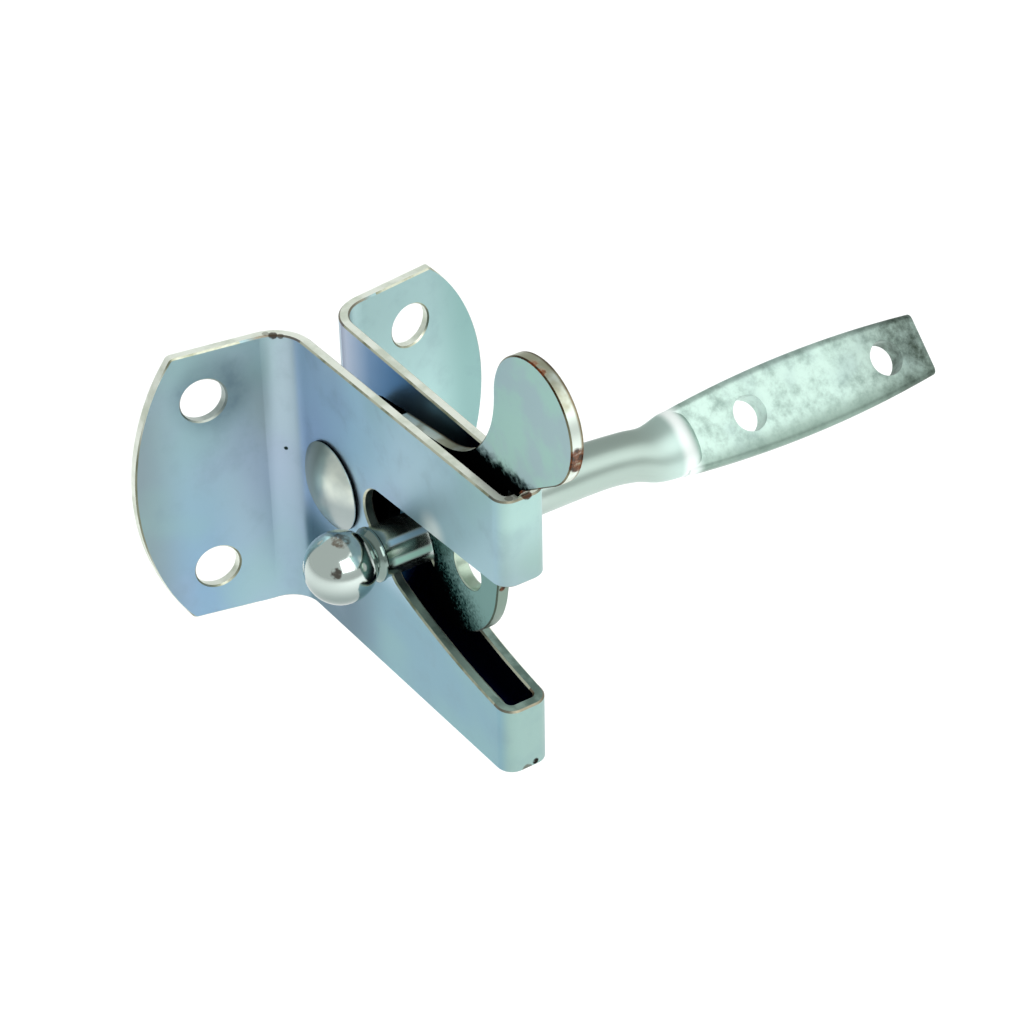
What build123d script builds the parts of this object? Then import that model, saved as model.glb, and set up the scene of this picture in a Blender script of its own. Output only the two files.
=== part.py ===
from build123d import *
import math
import os

# Automatic gate latch, in millimetres.
# +X runs forward from the post to the nose, +Y across to the gate side, +Z up.
# The origin is the middle of the four fixing holes, on the back faces of the flanges.

# Folded sheet of the latch body
sheet = 2.0
top_edge = 28.0
bottom_edge = -28.9
channel_width_at_pivot = 10.7
nose_width = 9.2
nose_front = 70.8
nose_corner_radius = 3.0
bend_radius = 6.0
edge_break = 0.3

# Flanges, swept back from square so that they spring against the post
flange_sweep = 8.5
flange_corner_y = 26.7
flange_corner_rise = 0.8
flange_heel_y = 12.0
flange_heel_radius = 40.0
near_flange_reach = 35.4
far_flange_reach = 38.4
flange_corner_radius = 1.2
fixing_spacing_y = 43.0
fixing_spacing_z = 36.0
fixing_hole_diameter = 8.4

# Striker bar, latched in the throat
bar_diameter = 9.5
bar_x = 36.7
bar_z = 0.1
seat_gap = 0.3

# Mouth cut through both side plates and the nose
mouth_top_at_throat = 9.2
mouth_top_at_nose = 10.9
throat_radius = 5.2
ramp_angle = 45.0
lower_arm_start_z = -7.5
lower_arm_middle_x = 50.0
lower_arm_middle_z = -11.8
lower_arm_nose_z = -15.6
ramp_foot_radius = 3.0

# Pivot rivet
pivot_x = 17.5
pivot_z = 2.3
shank_diameter = 8.0
head_diameter = 16.8
head_height = 3.2
head_rim = 0.5
head_rings = 3
plate_hole_clearance = 0.05
running_clearance = 0.10
side_clearance = 0.06

# Spacer rings beside the pawl
spacer_diameter = 13.0

# Pawl
pawl_thickness = 2.5
tail_radius = 9.5
pawl_top_slope = 7.4
pawl_heel_run = 6.5
pawl_heel_radius = 6.0
tab_radius = 10.9
tab_forward_of_nose = 4.0
tab_above_plates = 17.2
tab_sweep_radius = 19.2
tab_sweep_lean = 0.8
tab_underside_angle = -55.0
nose_seat_gap = 0.1
nose_seat_front = 0.6
nose_seat_relief = 1.4
chin_rise = 2.0
chin_forward = 1.0
chin_radius = 1.5
lobe_radius = 16.6
lobe_gap_to_nose = 5.1
lobe_centre_above_bar = 5.7
release_hole_diameter = 8.0
release_hole_forward = 7.6
release_hole_below = 1.1
recess_radius = 7.2
hook_angle = -35.0
hook_tip_behind_lobe = 3.0
hook_tip_radius = 2.2
pawl_edge_break = 0.25

# Striker: ball, neck and forged fixing plate
ball_diameter = 13.1
ball_centre_y = -15.6
neck_diameter = 8.4
collar_diameter = 10.1
collar_length = 1.6
forging_roll = 45.0
forging_offset = 2.0
leaf_start_y = 54.5
leaf_thickness = 4.0
leaf_root_half = 6.2
# Sections of the forging: distance past the leaf's start, sideways shift, half width, half height
forging_stations = [
    (-20.5, 0.0, bar_diameter / 2, bar_diameter / 2),
    (-14.5, 0.35, 4.65, bar_diameter / 2),
    (-9.5, 1.0, 4.85, bar_diameter / 2),
    (-5.2, 2.05, 5.4, 4.6),
    (0.0, 1.85, leaf_root_half, 4.5),
    (2.9, forging_offset, 5.8, 3.3),
]
forging_steps = 2
leaf_middle_y = 84.0
leaf_middle_half = 7.9
leaf_end_y = 112.6
leaf_end_half = 6.3
leaf_edge_break = 1.0
screw_hole_diameter = 7.0
screw_hole_near_y = 71.0
screw_hole_far_y = 103.5


def on_circle(centre, radius, degrees):
    """The point of a circle at an angle from the first axis."""
    turn = math.radians(degrees)
    return (centre[0] + radius * math.cos(turn), centre[1] + radius * math.sin(turn))


def touch_angle(centre, radius, outside, side):
    """Where a line from an outside point touches a circle, as an angle in degrees."""
    run = outside[0] - centre[0]
    rise = outside[1] - centre[1]
    spread = math.degrees(math.acos(radius / math.hypot(run, rise)))
    return math.degrees(math.atan2(rise, run)) + side * spread


def arc(centre, radius, start, end):
    """An arc of a circle between two angles, drawn in the line being built."""
    middle = on_circle(centre, radius, (start + end) / 2)
    return ThreePointArc(on_circle(centre, radius, start), middle, on_circle(centre, radius, end))


def corner(sketch, point):
    """The sketch's corner nearest to a point."""
    return sketch.vertices().sort_by(lambda vertex: (vertex.center() - Vector(*point)).length)[0]


quarter_turn = 90
half_turn = 180
three_quarters = 270
full_turn = 360

# The side plates draw together from the pivot to the nose
taper = (channel_width_at_pivot - nose_width) / 2 / (nose_front - pivot_x)


def plate_outer(x):
    """Half the width across the outside of the side plates, at a distance forward."""
    return channel_width_at_pivot / 2 - (x - pivot_x) * taper


# Latch body: the sheet's plan, folded from flange to flange
sweep = math.radians(flange_sweep)
flange_middle_x = sheet / 2 * math.cos(sweep)
flange_middle_y = fixing_spacing_y / 2 + sheet / 2 * math.sin(sweep)
plate_middle_at_origin = plate_outer(0) - sheet / 2
flange_crossing = flange_middle_x + flange_middle_y * math.tan(sweep)
fold_y = (plate_middle_at_origin - taper * flange_crossing) / (1 - taper * math.tan(sweep))
fold_x = flange_crossing - fold_y * math.tan(sweep)
tip_y = max(near_flange_reach, far_flange_reach) + sheet
tip_x = flange_crossing - tip_y * math.tan(sweep)
nose_x = nose_front - sheet / 2
nose_y = plate_outer(nose_x) - sheet / 2

fold_radius = bend_radius + sheet / 2
nose_radius = nose_corner_radius - sheet / 2
plan_points = [
    (tip_x, -tip_y),
    (fold_x, -fold_y),
    (nose_x, -nose_y),
    (nose_x, nose_y),
    (fold_x, fold_y),
    (tip_x, tip_y),
]
plan_radii = [fold_radius, nose_radius, nose_radius, fold_radius]
corner_bottom = bottom_edge + flange_corner_rise

# Mouth outline seen from the side. The ramp runs into the throat and lies a seat gap from the bar.
bar_centre = (bar_x, bar_z)
ramp_turn = math.radians(ramp_angle)
ramp_touch = on_circle(bar_centre, bar_diameter / 2 + seat_gap, three_quarters - ramp_angle)
ramp_foot_run = (ramp_touch[1] - lower_arm_start_z) / math.tan(ramp_turn)
ramp_foot = (ramp_touch[0] + ramp_foot_run, lower_arm_start_z)
throat_z = mouth_top_at_throat - throat_radius
throat_x = ramp_touch[0] + (
    throat_radius - (throat_z - ramp_touch[1]) * math.cos(ramp_turn)
) / math.sin(ramp_turn)
throat_centre = (throat_x, throat_z)
mouth_slope = math.degrees(math.atan2(mouth_top_at_nose - mouth_top_at_throat, nose_front - throat_x))
throat_top = on_circle(throat_centre, throat_radius, quarter_turn + mouth_slope)
ramp_head = on_circle(throat_centre, throat_radius, three_quarters - ramp_angle)
past_nose = nose_front + sheet
cut_tolerance = 1e-4
longest_edge_left_sharp = 1.5 * sheet


def is_cut(face):
    """Whether a face was cut through the sheet, so that it has an edge on both sides of it."""
    normal = face.normal_at()
    across_plates = abs(normal.Y) < cut_tolerance and abs(normal.X) < 1 - cut_tolerance
    across_flange = abs(normal.X) < cut_tolerance and abs(face.center().Y) > channel_width_at_pivot
    return across_plates or across_flange


with BuildPart() as latch_body:
    with BuildSketch(Plane.XY.offset(bottom_edge)) as plan:
        with BuildLine() as fold_line:
            FilletPolyline(*plan_points, radius=plan_radii)
        trace(line_width=sheet)
    extrude(amount=top_edge - bottom_edge)

    # Flanges trimmed to their rounded outline
    with BuildSketch(Plane.YZ) as front_outline:
        with BuildLine():
            Line((-flange_corner_y, top_edge), (flange_corner_y, top_edge))
            ThreePointArc(
                (flange_corner_y, top_edge), (far_flange_reach, 0), (flange_corner_y, corner_bottom)
            )
            Polyline(
                (flange_corner_y, corner_bottom),
                (flange_heel_y, bottom_edge),
                (-flange_heel_y, bottom_edge),
                (-flange_corner_y, corner_bottom),
            )
            ThreePointArc(
                (-flange_corner_y, corner_bottom), (-near_flange_reach, 0), (-flange_corner_y, top_edge)
            )
        make_face()
        for side in (1, -1):
            fillet(corner(front_outline, (side * flange_corner_y, top_edge)), flange_corner_radius)
            fillet(corner(front_outline, (side * flange_corner_y, corner_bottom)), flange_corner_radius)
            fillet(corner(front_outline, (side * flange_heel_y, bottom_edge)), flange_heel_radius)
    extrude(amount=past_nose, both=True, mode=Mode.INTERSECT)

    # Mouth with its throat and ramp
    with BuildSketch(Plane.XZ) as mouth:
        with BuildLine():
            Line(throat_top, (past_nose, mouth_top_at_nose))
            Line((past_nose, mouth_top_at_nose), (past_nose, lower_arm_nose_z))
            ThreePointArc(
                (past_nose, lower_arm_nose_z), (lower_arm_middle_x, lower_arm_middle_z), ramp_foot
            )
            Line(ramp_foot, ramp_head)
            arc(throat_centre, throat_radius, three_quarters - ramp_angle, quarter_turn + mouth_slope)
        make_face()
        fillet(corner(mouth, ramp_foot), ramp_foot_radius)
    extrude(amount=channel_width_at_pivot, both=True, mode=Mode.SUBTRACT)

    # Fixing holes, square to the post, and the rivet's hole
    with BuildSketch(Plane.YZ) as fixing_holes:
        with GridLocations(fixing_spacing_y, fixing_spacing_z, 2, 2):
            Circle(fixing_hole_diameter / 2)
    extrude(amount=past_nose, both=True, mode=Mode.SUBTRACT)
    with BuildSketch(Plane.XZ) as rivet_hole:
        with Locations((pivot_x, pivot_z)):
            Circle(shank_diameter / 2 + plate_hole_clearance)
    extrude(amount=channel_width_at_pivot, both=True, mode=Mode.SUBTRACT)

    # Cut edges broken all round
    cut_faces = latch_body.faces().filter_by(is_cut)
    long_cut_edges = cut_faces.edges().filter_by(lambda edge: edge.length > longest_edge_left_sharp)
    chamfer(long_cut_edges, edge_break)

# Pawl: one flat plate with its thumb tab, hook and release hole
pivot_centre = (pivot_x, pivot_z)
tab_centre = (nose_front + tab_forward_of_nose, top_edge + tab_above_plates)
sweep_centre = on_circle(tab_centre, tab_radius + tab_sweep_radius, half_turn + tab_sweep_lean)
pawl_top_front = on_circle(sweep_centre, tab_sweep_radius, pawl_top_slope - quarter_turn)
heel_x = pivot_x + pawl_heel_run
heel_drop = (pawl_top_front[0] - heel_x) * math.tan(math.radians(pawl_top_slope))
heel = (heel_x, pawl_top_front[1] - heel_drop)
heel_touch = touch_angle(pivot_centre, tail_radius, heel, 1)

nose_back = nose_front - sheet
seat_z = top_edge + nose_seat_gap
seat_front = (nose_front - nose_seat_front, seat_z)
chin = (nose_front + chin_forward, seat_z + chin_rise)
seat_back = (nose_back - nose_seat_relief, seat_z)
lobe_centre = (nose_back - lobe_gap_to_nose - lobe_radius, bar_z + lobe_centre_above_bar)
lobe_touch = touch_angle(lobe_centre, lobe_radius, seat_back, -1)
hook_tip = (lobe_centre[0] - hook_tip_behind_lobe, lobe_centre[1] - lobe_radius)
recess_rear = (bar_x - recess_radius, bar_z)
belly_touch = touch_angle(pivot_centre, tail_radius, recess_rear, -1)

with BuildPart() as pawl:
    with BuildSketch(Plane.XZ) as pawl_outline:
        with BuildLine():
            Line(heel, pawl_top_front)
            arc(sweep_centre, tab_sweep_radius, pawl_top_slope - quarter_turn, tab_sweep_lean)
            arc(tab_centre, tab_radius, half_turn + tab_sweep_lean, tab_underside_angle)
            Line(on_circle(tab_centre, tab_radius, tab_underside_angle), chin)
            Line(chin, seat_front)
            Line(seat_front, seat_back)
            Line(seat_back, on_circle(lobe_centre, lobe_radius, lobe_touch))
            arc(lobe_centre, lobe_radius, lobe_touch, -quarter_turn)
            Line(on_circle(lobe_centre, lobe_radius, -quarter_turn), hook_tip)
            Line(hook_tip, on_circle(bar_centre, recess_radius, hook_angle))
            arc(bar_centre, recess_radius, hook_angle, half_turn)
            Line(recess_rear, on_circle(pivot_centre, tail_radius, belly_touch))
            arc(pivot_centre, tail_radius, belly_touch, heel_touch - full_turn)
            Line(on_circle(pivot_centre, tail_radius, heel_touch), heel)
        make_face()
        fillet(corner(pawl_outline, heel), pawl_heel_radius)
        fillet(corner(pawl_outline, hook_tip), hook_tip_radius)
        fillet(corner(pawl_outline, chin), chin_radius)
    extrude(amount=pawl_thickness / 2, both=True)
    with BuildSketch(Plane.XZ) as pawl_holes:
        with Locations(pivot_centre):
            Circle(shank_diameter / 2 + running_clearance)
        with Locations((lobe_centre[0] + release_hole_forward, lobe_centre[1] - release_hole_below)):
            Circle(release_hole_diameter / 2)
    extrude(amount=pawl_thickness, both=True, mode=Mode.SUBTRACT)
    pawl_sides = pawl.faces().filter_by(Axis.Y)
    chamfer(pawl_sides.edges(), pawl_edge_break)

# Pivot rivet, with a domed head against each side plate
head_seat = plate_outer(pivot_x - head_diameter / 2) + side_clearance
dome_height = head_height - head_rim
dome_radius = ((head_diameter / 2) ** 2 + dome_height**2) / (2 * dome_height)
dome_angle = math.degrees(math.asin(head_diameter / 2 / dome_radius))
dome_centre = (0, head_seat + head_height - dome_radius)
ring_angle = dome_angle / head_rings
dome_steps = [quarter_turn - ring_angle * ring for ring in range(head_rings, -1, -1)]
dome_points = [on_circle(dome_centre, dome_radius, step) for step in dome_steps]
rivet_plane = Plane(origin=(pivot_x, 0, pivot_z), x_dir=(1, 0, 0), z_dir=(0, 0, 1))

with BuildPart() as pivot_rivet:
    with BuildSketch(rivet_plane) as rivet_half:
        with BuildLine():
            Polyline(
                (0, 0),
                (shank_diameter / 2, 0),
                (shank_diameter / 2, head_seat),
                (head_diameter / 2, head_seat),
                (head_diameter / 2, head_seat + head_rim),
            )
            Polyline(*dome_points)
            Line((0, head_seat + head_height), (0, 0))
        make_face()
        mirror(about=Plane.XZ)
    revolve(axis=Axis((pivot_x, 0, pivot_z), (0, 1, 0)))

# Spacer rings that keep the pawl in the middle of the channel
spacer_inner_y = pawl_thickness / 2 + side_clearance
spacer_outer_y = plate_outer(pivot_x + spacer_diameter / 2) - sheet - side_clearance
spacers = {}
for name, side in (("near_spacer", 1), ("far_spacer", -1)):
    with BuildPart() as spacer:
        with BuildSketch(Plane.XZ.offset(side * spacer_inner_y)) as ring:
            with Locations(pivot_centre):
                Circle(spacer_diameter / 2)
                Circle(shank_diameter / 2 + plate_hole_clearance, mode=Mode.SUBTRACT)
        extrude(amount=side * (spacer_outer_y - spacer_inner_y))
    spacers[name] = spacer

# Striker: ball, neck, collar and round bar turned on one axis
bar_plane = Plane(origin=(bar_x, 0, bar_z), x_dir=(1, 0, 0), z_dir=(0, 0, 1))
bar_axis = Axis((bar_x, 0, bar_z), (0, 1, 0))
neck_angle = math.degrees(math.acos(neck_diameter / ball_diameter))
neck_y = on_circle((0, ball_centre_y), ball_diameter / 2, neck_angle)[1]
bar_end_y = leaf_start_y + forging_stations[0][0]
roll = math.radians(forging_roll)
across = Vector(math.cos(roll), 0, -math.sin(roll))
outward = Vector(math.sin(roll), 0, math.cos(roll))


def eased(before, start, end, after, share):
    """A value between two stations, on a smooth curve through them and the stations beside them."""
    turn_in = (end - before) / 2
    turn_out = (after - start) / 2
    cubic = 2 * (start - end) + turn_in + turn_out
    square = 3 * (end - start) - 2 * turn_in - turn_out
    return cubic * share**3 + square * share**2 + turn_in * share + start


forging_sections = []
for index in range(len(forging_stations) - 1):
    rows = [
        forging_stations[max(index - 1, 0)],
        forging_stations[index],
        forging_stations[index + 1],
        forging_stations[min(index + 2, len(forging_stations) - 1)],
    ]
    for step in range(forging_steps):
        share = step / forging_steps
        forging_sections.append([eased(*values, share) for values in zip(*rows)])
forging_sections.append(list(forging_stations[-1]))


def bar_section(run, shift):
    """The plane across the bar at a distance past the leaf's start, moved sideways."""
    origin = Vector(bar_x, leaf_start_y + run, bar_z) + across * shift
    return Plane(origin=origin, x_dir=across, z_dir=(0, 1, 0))


leaf_origin = Vector(bar_x, 0, bar_z) + across * forging_offset
leaf_plane = Plane(origin=leaf_origin, x_dir=(0, 1, 0), z_dir=-outward)

with BuildPart() as striker_bar:
    # Flattened leaf with its edges rolled round and its two screw holes
    with BuildSketch(leaf_plane) as leaf:
        with BuildLine():
            Line((leaf_start_y, -leaf_root_half), (leaf_start_y, leaf_root_half))
            ThreePointArc(
                (leaf_start_y, leaf_root_half),
                (leaf_middle_y, leaf_middle_half),
                (leaf_end_y, leaf_end_half),
            )
            Line((leaf_end_y, leaf_end_half), (leaf_end_y, -leaf_end_half))
            ThreePointArc(
                (leaf_end_y, -leaf_end_half),
                (leaf_middle_y, -leaf_middle_half),
                (leaf_start_y, -leaf_root_half),
            )
        make_face()
    extrude(amount=leaf_thickness / 2, both=True)
    long_edges = striker_bar.edges().filter_by(lambda edge: edge.length > leaf_middle_y - leaf_start_y)
    chamfer(long_edges, leaf_edge_break)
    with BuildSketch(leaf_plane) as screw_holes:
        with Locations((screw_hole_near_y, 0), (screw_hole_far_y, 0)):
            Circle(screw_hole_diameter / 2)
    extrude(amount=leaf_thickness, both=True, mode=Mode.SUBTRACT)

    # Ball, neck, collar and bar
    with BuildSketch(bar_plane) as turned_half:
        with BuildLine():
            Line((0, bar_end_y), (0, ball_centre_y - ball_diameter / 2))
            arc((0, ball_centre_y), ball_diameter / 2, -quarter_turn, neck_angle)
            Polyline(
                (neck_diameter / 2, neck_y),
                (collar_diameter / 2, neck_y + (collar_diameter - neck_diameter) / 2),
                (collar_diameter / 2, neck_y + collar_length),
                (bar_diameter / 2, neck_y + collar_length + (collar_diameter - bar_diameter) / 2),
                (bar_diameter / 2, bar_end_y),
                (0, bar_end_y),
            )
        make_face()
    revolve(axis=bar_axis)

    # Bar joggled sideways and flared into the shoulder
    for run, shift, half_width, half_height in forging_sections:
        with BuildSketch(bar_section(run, shift)):
            Ellipse(half_width, half_height)
    loft(ruled=True)

pieces = {
    "latch_body": latch_body,
    "pawl": pawl,
    "pivot_rivet": pivot_rivet,
    "striker_bar": striker_bar,
    **spacers,
}
os.makedirs("parts", exist_ok=True)
for name, piece in pieces.items():
    piece.part.label = name
    export_step(piece.part, f"parts/{name}.step")
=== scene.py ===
# %% [markdown]
# # Automatic gate latch
# A gate latch of this kind is screwed to a post and catches a bar that is screwed to the gate.
# It is folded from one sheet of steel, and a flat pawl swings on a rivet between its two side plates.
# The solids come from the CAD model. This lesson is about finish, bright zinc with its tints and its wear,
# and about two rounded pieces, the rivet and the striker, that are modelled again with smooth surfaces.

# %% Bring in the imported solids
import math

import bpy
from mathutils import Matrix, Vector


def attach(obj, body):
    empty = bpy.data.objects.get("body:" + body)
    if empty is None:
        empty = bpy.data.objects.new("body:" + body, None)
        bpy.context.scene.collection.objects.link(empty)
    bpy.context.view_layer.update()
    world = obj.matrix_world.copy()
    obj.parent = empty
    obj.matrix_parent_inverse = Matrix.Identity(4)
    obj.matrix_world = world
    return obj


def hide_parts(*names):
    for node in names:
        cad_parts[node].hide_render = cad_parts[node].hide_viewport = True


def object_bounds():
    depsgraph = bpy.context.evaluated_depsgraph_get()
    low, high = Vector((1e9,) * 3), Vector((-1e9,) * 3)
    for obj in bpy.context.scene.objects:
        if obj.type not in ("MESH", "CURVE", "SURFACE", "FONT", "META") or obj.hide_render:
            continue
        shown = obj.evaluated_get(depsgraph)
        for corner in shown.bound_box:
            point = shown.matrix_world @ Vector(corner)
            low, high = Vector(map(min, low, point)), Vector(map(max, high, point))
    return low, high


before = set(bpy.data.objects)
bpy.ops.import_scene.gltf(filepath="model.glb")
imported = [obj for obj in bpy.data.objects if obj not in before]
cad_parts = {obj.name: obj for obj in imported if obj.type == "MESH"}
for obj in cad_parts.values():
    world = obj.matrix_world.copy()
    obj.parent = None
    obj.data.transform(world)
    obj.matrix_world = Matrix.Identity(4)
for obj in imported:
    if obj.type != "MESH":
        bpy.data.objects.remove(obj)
cad_low, cad_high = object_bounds()
print("solids", sorted(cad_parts))

# %% [markdown]
# ## Two helpers for materials
# Colours are written as the hex codes that a picture editor shows. A shader works in linear light,
# so one function turns each code to linear. The other adds a node, sets it and links it, which keeps
# a node graph readable as a list of steps, and a colour ramp gets its stops in the same call.
# Blender counts in metres, so a size in mm is scaled where it is used.

# %% Colour and node helpers
MM = 0.001


def linear(code):
    """An sRGB hex colour as linear red, green, blue and alpha."""
    parts = [int(code[i:i + 2], 16) / 255 for i in (1, 3, 5)]
    light = [p / 12.92 if p <= 0.04045 else ((p + 0.055) / 1.055) ** 2.4 for p in parts]
    return (*light, 1.0)


def add_node(tree, kind, settings=None, inputs=None, out=0, stops=()):
    """Adds a node, sets it, gives or links its inputs, and returns one of its output sockets."""
    made = tree.nodes.new(kind)
    for name, value in (settings or {}).items():
        setattr(made, name, value)
    for name, value in (inputs or {}).items():
        if isinstance(value, bpy.types.NodeSocket):
            tree.links.new(value, made.inputs[name])
        else:
            made.inputs[name].default_value = linear(value) if isinstance(value, str) else value
    if stops:
        marks = made.color_ramp.elements
        marks.remove(marks[1])
        marks[0].position, marks[0].color = stops[0][0], linear(stops[0][1])
        for position, code in stops[1:]:
            marks.new(position).color = linear(code)
    return made.outputs[out]


def start_material(name, metallic, roughness):
    """A material with its tree, its shader and the piece's own coordinates."""
    material = bpy.data.materials.new(name)
    material.use_nodes = True
    tree = material.node_tree
    shader = tree.nodes["Principled BSDF"]
    shader.inputs["Metallic"].default_value = metallic
    shader.inputs["Roughness"].default_value = roughness
    place = add_node(tree, "ShaderNodeTexCoord").node
    return material, tree, shader, place


print("grey card in linear light:", [round(part, 3) for part in linear("#808080")])

# %% [markdown]
# ## Helpers for modelling
# Round pieces are built the way a lathe hand thinks of them: a rim is selected, extruded a little way
# along the axis and squeezed or opened to the next size. In the background Blender has no view to take
# a pivot from, so each squeeze names its centre.

# %% Modelling helpers


def start_piece(name):
    """Names the new primitive, fixes its place into its mesh and opens it for editing."""
    piece = bpy.context.object
    piece.name = name
    bpy.ops.object.transform_apply(location=True, rotation=True, scale=True)
    bpy.ops.object.mode_set(mode="EDIT")
    return piece


def next_rim(step, squeeze, centre):
    """Extrudes the selected rim by a step, then squeezes it about a centre."""
    bpy.ops.mesh.extrude_edges_move(TRANSFORM_OT_translate={"value": step})
    bpy.ops.transform.resize(value=squeeze, center_override=centre)


def finish_mesh(smooth_below):
    """Merges doubles, turns faces outwards, leaves edit mode and smooths the gentle edges."""
    bpy.ops.mesh.select_all(action="SELECT")
    bpy.ops.mesh.remove_doubles(threshold=0.002 * MM)
    bpy.ops.mesh.normals_make_consistent(inside=False)
    bpy.ops.object.mode_set(mode="OBJECT")
    bpy.ops.object.shade_smooth_by_angle(angle=math.radians(smooth_below))


def use_modifier(piece, kind, **settings):
    """Adds a modifier to a piece and applies it."""
    modifier = piece.modifiers.new(kind.lower(), kind)
    for name, value in settings.items():
        setattr(modifier, name, value)
    bpy.context.view_layer.objects.active = piece
    bpy.ops.object.modifier_apply(modifier=modifier.name)


print("modelling helpers ready")

# %% [markdown]
# ## The rivet
# The pivot is a solid steel rivet with a low domed head against each side plate. A sphere would be
# too tall and a cylinder too hard, so the near half is drawn as a lathe profile: shank, flat seat,
# short rim, then a shallow dome in rings that close at the middle. A mirror makes the far half.

# %% Rivet, near half
PIVOT = Vector((17.5, 0, 2.3)) * MM
SHANK_RADIUS = 4.0 * MM
HEAD_RADIUS = 8.4 * MM
HEAD_SEAT = 5.53 * MM
HEAD_RIM = 0.45 * MM
HEAD_HEIGHT = 3.2 * MM
DOME_RINGS = 12

bpy.ops.object.select_all(action="DESELECT")
bpy.ops.mesh.primitive_circle_add(
    vertices=72, radius=SHANK_RADIUS, location=PIVOT, rotation=(math.radians(90), 0, 0)
)
rivet = start_piece("pivot_rivet_smooth")
bpy.ops.mesh.select_all(action="SELECT")
next_rim((0, -HEAD_SEAT, 0), (1, 1, 1), PIVOT)
opening = HEAD_RADIUS / SHANK_RADIUS
next_rim((0, 0, 0), (opening, 1, opening), PIVOT)
next_rim((0, -HEAD_RIM, 0), (1, 1, 1), PIVOT)
dome_height = HEAD_HEIGHT - HEAD_RIM
dome_radius = (HEAD_RADIUS ** 2 + dome_height ** 2) / (2 * dome_height)
dome_angle = math.asin(HEAD_RADIUS / dome_radius)
for ring in range(1, DOME_RINGS):
    before = dome_angle * (DOME_RINGS - ring + 1) / DOME_RINGS
    after = dome_angle * (DOME_RINGS - ring) / DOME_RINGS
    rise = dome_radius * (math.cos(after) - math.cos(before))
    closing = math.sin(after) / math.sin(before)
    next_rim((0, -rise, 0), (closing, 1, closing), PIVOT)
bpy.ops.mesh.extrude_edges_move(TRANSFORM_OT_translate={"value": (0, 0, 0)})
bpy.ops.mesh.merge(type="CENTER")
bpy.ops.object.mode_set(mode="OBJECT")
use_modifier(rivet, "MIRROR", use_axis=(False, True, False), merge_threshold=0.01 * MM)
bpy.ops.object.mode_set(mode="EDIT")
finish_mesh(smooth_below=40)
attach(rivet, "latch")
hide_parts("pivot_rivet")
print("rivet faces", len(rivet.data.polygons))

# %% [markdown]
# ## The striker's round end
# The gate carries one forged bar: a ball that keeps it from slipping out sideways, a thin neck, a collar,
# then round bar that swells into a flat leaf. A ball is a sphere to start with. It is cut where the neck
# begins, and its open rim is drawn on along the bar in rings. All of it is made on one straight axis and
# turned into place at the end, because rings are easy to size when the axis is straight. The numbers
# are in mm along the bar, counted from the middle of the throat.

# %% Ball, neck and bar
BAR = Vector((36.7, 0, 0.1)) * MM
BALL_RADIUS = 6.55
BALL_Y = -15.6
NECK_RADIUS = 4.2
BAR_RADIUS = 4.75
COLLAR_RADIUS = 5.05
LEAF_START = 54.5
SHOULDER_RUN = 20.5

neck_y = BALL_Y + math.sqrt(BALL_RADIUS ** 2 - NECK_RADIUS ** 2)
turned_profile = [
    (neck_y + 0.15, NECK_RADIUS),
    (neck_y + 0.85, COLLAR_RADIUS - 0.1),
    (neck_y + 1.0, COLLAR_RADIUS),
    (neck_y + 1.6, COLLAR_RADIUS),
    (neck_y + 1.9, BAR_RADIUS),
    (LEAF_START - SHOULDER_RUN, BAR_RADIUS),
]
bpy.ops.object.select_all(action="DESELECT")
bpy.ops.mesh.primitive_uv_sphere_add(
    segments=72, ring_count=48, radius=BALL_RADIUS * MM,
    location=(0, BALL_Y * MM, 0), rotation=(math.radians(90), 0, 0),
)
striker = start_piece("striker_smooth")
bpy.ops.mesh.select_all(action="SELECT")
bpy.ops.mesh.bisect(plane_co=(0, neck_y * MM, 0), plane_no=(0, 1, 0), clear_outer=True)
rim_y, rim_radius = neck_y, NECK_RADIUS
for y, radius in turned_profile:
    ratio = radius / rim_radius
    next_rim((0, (y - rim_y) * MM, 0), (ratio, 1, ratio), (0, 0, 0))
    rim_y, rim_radius = y, radius
print("bar drawn to y", round(rim_y, 1), "mm")

# %% [markdown]
# ## The forged shoulder
# A smith flattens the end of the bar, and the metal that is pushed aside swells before it thins. That is
# why the bar shifts a little to one side and widens before the leaf begins. Each station gives its
# distance from the leaf's start, its shift, its half width and its half height. A smooth curve through
# the stations gives the rings between, so that the light runs along the shoulder without a step. The
# last rings round off into the leaf.

# %% Shoulder rings
LEAF_SHIFT = 2.0
shoulder_stations = [
    (-SHOULDER_RUN, 0.0, BAR_RADIUS, BAR_RADIUS),
    (-14.5, 0.35, 4.65, 4.75),
    (-9.5, 1.0, 4.85, 4.75),
    (-5.2, 2.05, 5.4, 4.6),
    (0.0, 1.85, 6.2, 4.5),
    (2.9, LEAF_SHIFT, 5.8, 3.3),
    (4.2, LEAF_SHIFT, 4.2, 1.7),
]
RINGS_BETWEEN = 6
shoulder_rings = []
for index in range(len(shoulder_stations) - 1):
    start, end = shoulder_stations[index], shoulder_stations[index + 1]
    before = shoulder_stations[max(index - 1, 0)]
    after = shoulder_stations[min(index + 2, len(shoulder_stations) - 1)]
    for ring in range(1, RINGS_BETWEEN + 1):
        share = ring / RINGS_BETWEEN
        row = []
        for a, b, c, d in zip(before, start, end, after):
            turn_in, turn_out = (c - a) / 2, (d - b) / 2
            cubic = 2 * (b - c) + turn_in + turn_out
            square = 3 * (c - b) - 2 * turn_in - turn_out
            row.append(cubic * share ** 3 + square * share ** 2 + turn_in * share + b)
        shoulder_rings.append(row)

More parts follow.
